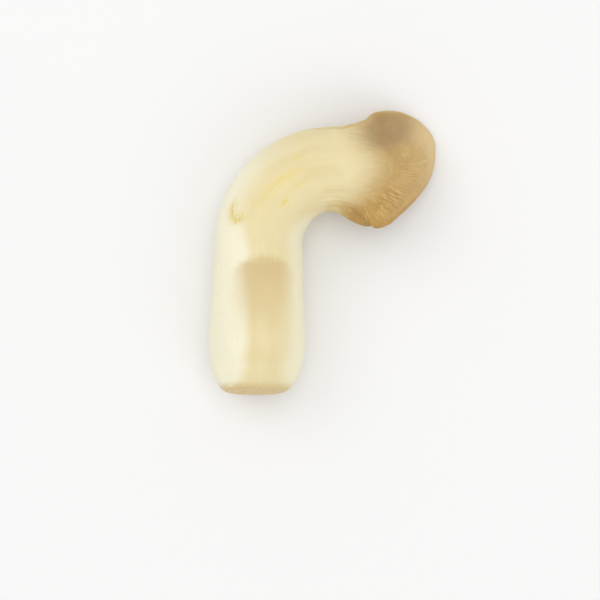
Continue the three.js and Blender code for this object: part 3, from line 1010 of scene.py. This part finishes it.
def flesh_material(settings):
    """Cream stem with lengthwise streaks that turns into tan, finely fibrillose cap skin."""
    material, tree, shader = new_material("mushroom flesh")
    unbent = attribute(tree, "unbent").outputs["Vector"]
    fan = add_node(tree, "ShaderNodeSeparateXYZ", {0: attribute(tree, "fan").outputs["Vector"]}).outputs
    place = add_node(tree, "ShaderNodeTexCoord").outputs["Object"]
    mask = {name: attribute(tree, name).outputs["Fac"] for name in MASKS}
    coarse = fibres(tree, unbent, 6 * MM, 5, contrast=1.4)
    fine = fibres(tree, unbent, 0.8 * MM, 16, contrast=0.9)
    fan_long = add_node(tree, "ShaderNodeCombineXYZ", {0: fan[0], 1: fan[2], 2: fan[1]}).outputs[0]
    fanned = fibres(tree, fan_long, 0.55 * MM, 16, contrast=2.2)
    fan_flat = add_node(tree, "ShaderNodeCombineXYZ", {0: fan[0], 2: fan[1]}).outputs[0]
    threads = fibres(tree, fan_flat, 0.46 * MM, 8, contrast=2.6)

    stem = stem_colours(tree, settings, mask, unbent, place, coarse, fine)
    cap = cap_colours(tree, settings, mask, place, fanned, threads)
    colour = mix_colours(tree, mask["tan"], stem, cap)
    floor = map_range(tree, mask["gill_floor"], 0.02, 0.75)
    colour = mix_colours(tree, floor, colour, opaque(settings.gill_floor_colour))
    # Golden tone and painted shade on the cap's near side
    colour = tinted(tree, colour, settings.warm_and_shade_colour, mask["warm"], 0.9)
    light = map_range(tree, threads, 0.52, 0.75, 0, 0.62)
    colour = tinted(tree, colour, settings.fibril_colour, mask["fibril"], light)
    rough = map_range(tree, noise_value(tree, place, 1 * MM, 3), 0.35, 0.55, 0.45, 1)
    colour = tinted(tree, colour, settings.scar_colour, mask["scar"], rough)
    tree.links.new(colour, shader.inputs["Base Color"])

    roughness = map_range(tree, noise_value(tree, place, 2 * MM, 3), 0.3, 0.7, 0.5, 0.68)
    tree.links.new(roughness, shader.inputs["Roughness"])
    relief = math_node(tree, "MULTIPLY_ADD", fine, 0.6, math_node(tree, "MULTIPLY", coarse, 0.4))
    cap_relief = math_node(tree, "MULTIPLY_ADD", fanned, 0.7, noise_value(tree, place, 0.5 * MM, 2))
    height = mix_values(tree, mask["tan"], relief, cap_relief)
    link_bump(tree, shader, height, 0.35, 0.08 * MM)
    set_flesh_shader(shader)
    return material


def gill_material(settings):
    """Golden cream gills, palest along their free edges."""
    material, tree, shader = new_material("gill flesh")
    blade = attribute(tree, "blade_place").outputs["Vector"]
    tint = attribute(tree, "blade_tint").outputs["Fac"]
    parts = add_node(tree, "ShaderNodeSeparateXYZ", {0: blade})
    edge = map_range(tree, parts.outputs[2], -0.45, 0.45)
    place = add_node(tree, "ShaderNodeTexCoord").outputs["Object"]
    blotches = noise_value(tree, place, 3 * MM, 3)
    edge = math_node(tree, "MULTIPLY", edge, map_range(tree, blotches, 0.2, 0.7, 0.6, 1))
    colour = mix_colours(tree, edge, opaque(settings.root_colour), opaque(settings.edge_colour))
    creamy = map_range(tree, parts.outputs[0], -0.5, 0.12, 0.95, 0)
    colour = mix_colours(tree, creamy, colour, opaque(settings.neck_colour))
    where = add_node(tree, "ShaderNodeSeparateXYZ", {0: place}).outputs
    # Darker golden tone and painted shade on the gills of the cap's near side
    near = map_range(tree, where[1], 36 * MM, 30 * MM, 0, 0.85)
    near = math_node(tree, "MULTIPLY", near, map_range(tree, where[0], 26 * MM, 32 * MM))
    near = math_node(tree, "MULTIPLY", near, map_range(tree, parts.outputs[0], -0.5, -0.1))
    colour = mix_colours(tree, near, colour, opaque(settings.near_tone_and_shade_colour))
    colour = tinted(tree, colour, settings.root_colour, tint, 0.25)
    tree.links.new(colour, shader.inputs["Base Color"])
    roughness = map_range(tree, blotches, 0.3, 0.7, 0.5, 0.65)
    tree.links.new(roughness, shader.inputs["Roughness"])
    link_bump(tree, shader, noise_value(tree, place, 0.5 * MM, 2), 0.25, 0.05 * MM)
    set_flesh_shader(shader)
    return material


def floor_material(settings):
    material, tree, shader = new_material("pale floor")
    place = add_node(tree, "ShaderNodeTexCoord").outputs["Object"]
    grain = map_range(tree, noise_value(tree, place, 0.2, 3), 0.3, 0.7, 0, 0.03)
    base = mix_colours(tree, grain, opaque(settings.floor_colour), (0.75, 0.75, 0.75, 1))
    tree.links.new(base, shader.inputs["Base Color"])
    shader.inputs["Roughness"].default_value = 0.7
    shader.inputs["Specular IOR Level"].default_value = 0.2
    return material


def add_object(name, mesh):
    made = bpy.data.objects.new(name, mesh)
    bpy.context.scene.collection.objects.link(made)
    return made


def gills_tree():
    """Geometry nodes that stand thin blades on the flesh, placed by its unrolled map."""
    tree = bpy.data.node_groups.new("Gills", "GeometryNodeTree")
    tree.is_modifier = True
    tree.interface.new_socket("Geometry", in_out="OUTPUT", socket_type="NodeSocketGeometry")
    for name, kind in (
        ("Flesh", "NodeSocketObject"),
        ("Material", "NodeSocketMaterial"),
        ("Count", "NodeSocketInt"),
        ("Depth", "NodeSocketFloat"),
        ("Root thickness", "NodeSocketFloat"),
        ("Edge thickness", "NodeSocketFloat"),
        ("Sunk", "NodeSocketFloat"),
        ("Wave", "NodeSocketFloat"),
        ("First turn", "NodeSocketFloat"),
        ("Last turn", "NodeSocketFloat"),
        ("Start", "NodeSocketFloat"),
        ("End", "NodeSocketFloat"),
        ("Seed", "NodeSocketInt"),
    ):
        tree.interface.new_socket(name, in_out="INPUT", socket_type=kind)
    start = add_node(tree, "NodeGroupInput").outputs
    flesh = add_node(tree, "GeometryNodeObjectInfo", {"Object": start["Flesh"]}).outputs["Geometry"]

    roots = add_node(tree, "GeometryNodePoints", {"Count": start["Count"]}).outputs[0]
    number = add_node(tree, "GeometryNodeInputIndex").outputs[0]
    roots = store(tree, roots, "INT", "blade", number)
    roots = store(tree, roots, "FLOAT", "blade_tint", random_value(tree, number, start["Seed"], 3))
    block = add_node(
        tree,
        "GeometryNodeMeshCube",
        {"Size": (1, 1, 1), "Vertices X": 34, "Vertices Y": 2, "Vertices Z": 3},
    ).outputs["Mesh"]
    position = add_node(tree, "GeometryNodeInputPosition").outputs[0]
    block = store(tree, block, "FLOAT_VECTOR", "blade_place", position)
    copies = add_node(tree, "GeometryNodeInstanceOnPoints", {"Points": roots, "Instance": block})
    blades = add_node(tree, "GeometryNodeRealizeInstances", {"Geometry": copies.outputs[0]}).outputs[0]

    blade = named(tree, "INT", "blade")
    blade_place = named(tree, "FLOAT_VECTOR", "blade_place")
    parts = add_node(tree, "ShaderNodeSeparateXYZ", {0: blade_place}).outputs
    along = math_node(tree, "ADD", parts[0], 0.5)
    height = math_node(tree, "ADD", parts[2], 0.5)
    draws = [random_value(tree, blade, start["Seed"], shift) for shift in range(3)]
    u, v = blade_track(tree, start, blade, along, draws)

    normal = add_node(tree, "GeometryNodeInputNormal").outputs[0]
    root = on_flesh(tree, flesh, "FLOAT_VECTOR", position, u, v)
    out = on_flesh(tree, flesh, "FLOAT_VECTOR", normal, u, v)
    depth = on_flesh(tree, flesh, "FLOAT", named(tree, "FLOAT", "gill_share"), u, v)
    ahead = on_flesh(tree, flesh, "FLOAT_VECTOR", position, u, math_node(tree, "ADD", v, AHEAD))
    out = vector_node(tree, "NORMALIZE", out)
    across = vector_node(tree, "CROSS_PRODUCT", out, vector_node(tree, "SUBTRACT", ahead, root))
    across = vector_node(tree, "NORMALIZE", across)

    lift, width = blade_size(tree, start, along, height, depth, draws[2])
    side = math_node(tree, "MULTIPLY", parts[1], width)
    up = scaled(tree, out, lift)
    sideways = scaled(tree, across, side)
    place = vector_node(tree, "ADD", root, vector_node(tree, "ADD", up, sideways))
    blades = add_node(tree, "GeometryNodeSetPosition", {"Geometry": blades, "Position": place}).outputs[0]
    blades = add_node(tree, "GeometryNodeSetShadeSmooth", {"Geometry": blades}).outputs[0]
    whole = add_node(tree, "GeometryNodeRealizeInstances", {"Geometry": blades}).outputs[0]
    whole = add_node(
        tree, "GeometryNodeSetMaterial", {"Geometry": whole, "Material": start["Material"]}
    ).outputs[0]
    add_node(tree, "NodeGroupOutput", {0: whole})
    return tree


def blade_track(tree, start, blade, along, draws):
    """Where the blades run on the unrolled map: every other one begins late, and all end at the lip."""
    short = math_node(tree, "MODULO", blade, 2)
    full_start = math_node(tree, "MULTIPLY", draws[0], 0.22)
    short_start = math_node(tree, "MULTIPLY_ADD", draws[0], 0.34, 0.36)
    begin = mix_values(tree, short, full_start, short_start)
    place = mix_values(tree, along, begin, 1.0)
    v = mix_values(tree, place, start["Start"], start["End"])
    jitter = math_node(tree, "MULTIPLY_ADD", draws[1], 0.36, 0.32)
    share = math_node(tree, "DIVIDE", math_node(tree, "ADD", blade, jitter), start["Count"])
    u = mix_values(tree, share, start["First turn"], start["Last turn"])
    wave_place = math_node(tree, "MULTIPLY", place, WAVE_TURNS)
    wave_place = math_node(tree, "MULTIPLY_ADD", blade, WAVE_SHIFT, wave_place)
    sockets = {"W": wave_place, "Scale": 1, "Detail": 1}
    wander = add_node(tree, "ShaderNodeTexNoise", sockets, noise_dimensions="1D").outputs[0]
    wander = math_node(tree, "MULTIPLY", math_node(tree, "SUBTRACT", wander, 0.5), start["Wave"])
    return math_node(tree, "ADD", u, wander), v


def blade_size(tree, start, along, height, depth, draw):
    """How far each point of the blades stands off the flesh, and how thick they are there."""
    taper = math_node(tree, "MULTIPLY", map_range(tree, along, 0, 0.22), map_range(tree, along, 1, 0.93))
    uneven = math_node(tree, "MULTIPLY_ADD", draw, 0.16, 0.9)
    crest = math_node(tree, "MULTIPLY", math_node(tree, "MULTIPLY", start["Depth"], depth), uneven)
    crest = math_node(tree, "MULTIPLY", crest, taper)
    low = math_node(tree, "MULTIPLY", start["Sunk"], -1.0)
    lift = mix_values(tree, height, low, crest)
    width = mix_values(tree, height, start["Root thickness"], start["Edge thickness"])
    width = math_node(tree, "MULTIPLY", width, math_node(tree, "MULTIPLY_ADD", taper, 0.8, 0.2))
    return lift, width


def store(tree, geometry, kind, name, value):
    sockets = {"Geometry": geometry, "Name": name, "Value": value}
    return add_node(tree, "GeometryNodeStoreNamedAttribute", sockets, data_type=kind).outputs[0]


def named(tree, kind, name):
    return add_node(tree, "GeometryNodeInputNamedAttribute", {"Name": name}, data_type=kind).outputs[0]


def random_value(tree, number, seed, shift):
    """A random value from 0 to 1 for each number."""
    sockets = {"ID": number, "Seed": math_node(tree, "ADD", seed, shift)}
    return add_node(tree, "FunctionNodeRandomValue", sockets, data_type="FLOAT").outputs[1]


def on_flesh(tree, flesh, kind, value, u, v):
    """What the flesh has at a place of its unrolled map."""
    place = add_node(tree, "ShaderNodeCombineXYZ", {0: u, 1: v}).outputs[0]
    unrolled = named(tree, "FLOAT_VECTOR", "skin")
    sockets = {"Mesh": flesh, "Value": value, "UV Map": unrolled, "Sample UV": place}
    return add_node(tree, "GeometryNodeSampleUVSurface", sockets, data_type=kind).outputs[0]


def scaled(tree, vector, size):
    node = add_node(tree, "ShaderNodeVectorMath", {0: vector, "Scale": size}, operation="SCALE")
    return node.outputs[0]


def made_by_nodes(name, tree, inputs):
    """The plain mesh that a geometry node tree makes with these inputs, on an object of its own."""
    carrier = add_object(name, bpy.data.meshes.new(name))
    modifier = carrier.modifiers.new("nodes", "NODES")
    modifier.node_group = tree
    for item in tree.interface.items_tree:
        if item.in_out == "INPUT":
            modifier[item.identifier] = inputs[item.name]
    bpy.context.view_layer.update()
    evaluated = carrier.evaluated_get(bpy.context.evaluated_depsgraph_get())
    carrier.data = bpy.data.meshes.new_from_object(evaluated)
    carrier.data.name = name
    carrier.modifiers.clear()
    return carrier


class MUSHROOM_OT_flesh(bpy.types.Operator):
    """Makes the stem and cap as one closed skin"""

    bl_idname = "mushroom.flesh"
    bl_label = "Make the flesh"

    def execute(self, context):
        settings = context.scene.mushroom_flesh
        turn, stations, points, masks = flesh_grid(settings, context.scene.mushroom_gills.depth)
        mesh = build_mesh("mushroom_flesh", turn, stations, points, masks)
        flesh = add_object("mushroom_flesh", mesh)
        mesh.materials.append(flesh_material(settings))
        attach(flesh, BODY)
        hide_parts(NODE)
        return {"FINISHED"}


class MUSHROOM_OT_gills(bpy.types.Operator):
    """Stands the gills on the flesh, from the neck to the cap's lip"""

    bl_idname = "mushroom.gills"
    bl_label = "Make the gills"

    def execute(self, context):
        settings = context.scene.mushroom_gills
        full_turn = 2 * math.pi
        total = CUT_FACE + NECK_END + CAP_TOP
        gills = made_by_nodes("gills", gills_tree(), {
            "Flesh": bpy.data.objects["mushroom_flesh"],
            "Material": gill_material(settings),
            "Count": settings.count,
            "Depth": settings.depth,
            "Root thickness": settings.root_thickness,
            "Edge thickness": settings.edge_thickness,
            "Sunk": GILL_SUNK,
            "Wave": settings.wave / (full_turn * NOMINAL_RADIUS),
            "First turn": (GILL_MIDDLE - GILL_SECTOR) / full_turn,
            "Last turn": (GILL_MIDDLE + GILL_SECTOR) / full_turn,
            "Start": (CUT_FACE + GILL_START) / total,
            "End": (CUT_FACE + NECK_END + LIP) / total,
            "Seed": SEED,
        })
        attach(gills, BODY)
        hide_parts(NODE)
        return {"FINISHED"}


def add_area_light(name, place, target, width, power, colour):
    lamp = bpy.data.lights.new(name, "AREA")
    lamp.shape = "DISK"
    lamp.size = width
    lamp.energy = power
    lamp.color = colour
    light = bpy.data.objects.new(name, lamp)
    light.location = place
    light.rotation_euler = (Vector(target) - Vector(place)).to_track_quat("-Z", "Y").to_euler()
    bpy.context.scene.collection.objects.link(light)


class MUSHROOM_OT_stage(bpy.types.Operator):
    """Makes the pale floor, the soft light and the overhead camera"""

    bl_idname = "mushroom.stage"
    bl_label = "Make the stage"

    def execute(self, context):
        settings = context.scene.mushroom_stage
        scene = context.scene
        mesh = bpy.data.meshes.new("floor")
        corners = [(x * FLOOR_REACH, y * FLOOR_REACH, FLOOR_Z) for x, y in FLOOR_CORNERS]
        mesh.from_pydata(corners, [], [(0, 1, 2, 3)])
        floor = add_object("floor", mesh)
        mesh.materials.append(floor_material(settings))

        middle = (PICTURE_MIDDLE[0], PICTURE_MIDDLE[1], 0)
        for name, place, width, power, colour in LIGHTS:
            add_area_light(name, place, middle, width, getattr(settings, power), colour)
        world = bpy.data.worlds.new("soft sky")
        world.use_nodes = True
        background = world.node_tree.nodes["Background"]
        background.inputs["Color"].default_value = (1, 1, 1, 1)
        background.inputs["Strength"].default_value = settings.sky
        scene.world = world
        scene.view_settings.view_transform = "Standard"

        lens = bpy.data.cameras.new("overhead camera")
        camera = bpy.data.objects.new("overhead camera", lens)
        camera.location = (*PICTURE_MIDDLE, settings.camera_height)
        outline_height = settings.camera_height - NECK_AXIS_Z
        lens.lens = lens.sensor_width * outline_height / settings.picture_width
        lens.clip_end = 20
        scene.collection.objects.link(camera)
        scene.camera = camera
        return {"FINISHED"}


class MUSHROOM_PT_panel(bpy.types.Panel):
    """Lists the mushroom's pieces and their settings"""

    bl_idname = "MUSHROOM_PT_panel"
    bl_label = "King oyster mushroom"
    bl_space_type = "VIEW_3D"
    bl_region_type = "UI"
    bl_category = "Mushroom"

    def draw(self, context):
        for operator, settings in PIECES:
            box = self.layout.box()
            box.operator(operator)
            owner = getattr(context.scene, settings)
            for name in owner.__annotations__:
                box.prop(owner, name)


PIECES = (
    ("mushroom.flesh", "mushroom_flesh"),
    ("mushroom.gills", "mushroom_gills"),
    ("mushroom.stage", "mushroom_stage"),
)
SETTINGS = {
    "mushroom_flesh": FleshSettings,
    "mushroom_gills": GillSettings,
    "mushroom_stage": StageSettings,
}
CLASSES = (MUSHROOM_OT_flesh, MUSHROOM_OT_gills, MUSHROOM_OT_stage, MUSHROOM_PT_panel)


def register():
    for group in SETTINGS.values():
        bpy.utils.register_class(group)
    for name, group in SETTINGS.items():
        setattr(bpy.types.Scene, name, PointerProperty(type=group))
    for added in CLASSES:
        bpy.utils.register_class(added)


def unregister():
    for added in reversed(CLASSES):
        bpy.utils.unregister_class(added)
    for name, group in SETTINGS.items():
        delattr(bpy.types.Scene, name)
        bpy.utils.unregister_class(group)


def main():
    register()
    bpy.ops.mushroom.flesh()
    bpy.ops.mushroom.gills()
    bpy.ops.mushroom.stage()


if __name__ == "__main__":
    main()
